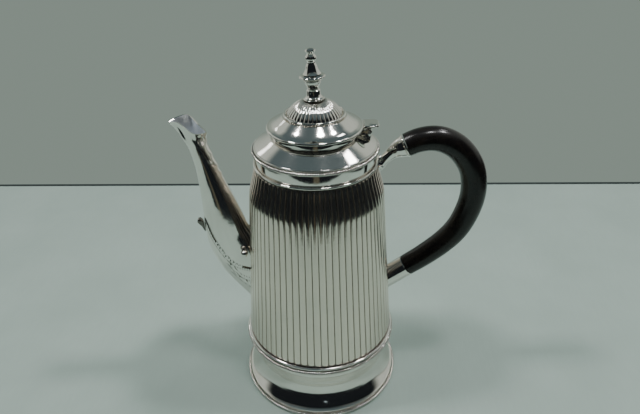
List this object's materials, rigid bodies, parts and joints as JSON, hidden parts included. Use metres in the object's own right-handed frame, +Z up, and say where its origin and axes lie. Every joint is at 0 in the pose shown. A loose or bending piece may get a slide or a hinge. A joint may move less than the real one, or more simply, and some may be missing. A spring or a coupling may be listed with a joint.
{
  "type": "coffee pot",
  "caption": "Tall silver-plated coffee pot: reeded tapering body, hinged domed lid with finial, curved spout and black C-shaped handle.",
  "frame": {"origin": "the middle of the whole outline, from the spout's tip to the back of the handle, on the surface that the foot rests on; the pot's own axis is 11.2 mm from it towards the spout", "axes": "+Z up, +X from the spout to the handle, +Y to the back"},
  "size_m": [0.1988, 0.1136, 0.2432],
  "materials": {
    "silver_plate": "polished silver plate with fine wear and darker recesses",
    "ebonised_wood": "glossy black",
    "nickel_pin": "filed flush",
    "brass": "dull, inside the lid"
  },
  "bodies": {
    "pot": {"base_moulding": "silver_plate", "body": "silver_plate", "body_bottom": "silver_plate", "body_rope": "silver_plate", "collar": "silver_plate", "collar_bead": "silver_plate", "foot": "silver_plate", "foot_rope": "silver_plate", "handle": "ebonised_wood", "hinge_knuckle_back": "silver_plate", "hinge_knuckle_front": "silver_plate", "hinge_pin": "nickel_pin", "lower_handle_pin": "nickel_pin", "lower_socket": "silver_plate", "neck": "silver_plate", "shoulder": "silver_plate", "shoulder_rope": "silver_plate", "spout": "silver_plate", "spout_boss_back": "silver_plate", "spout_boss_front": "silver_plate", "spout_scroll": "silver_plate", "upper_handle_pin": "nickel_pin", "upper_socket": "silver_plate"},
    "lid": {"finial_base": "silver_plate", "finial_disc": "silver_plate", "finial_nut": "brass", "finial_spire": "silver_plate", "finial_stud": "brass", "lid": "silver_plate", "lid_bead": "silver_plate", "lid_bezel": "silver_plate", "lid_dome": "silver_plate", "thumbpiece": "silver_plate"}
  },
  "joints": [
    {"name": "lid_hinge", "type": "hinge", "parent": "pot", "child": "lid", "pos_m": [0.0213, 0, 0.1932], "axis": [0, 1, 0], "range_deg": [0, 90]}
  ]
}
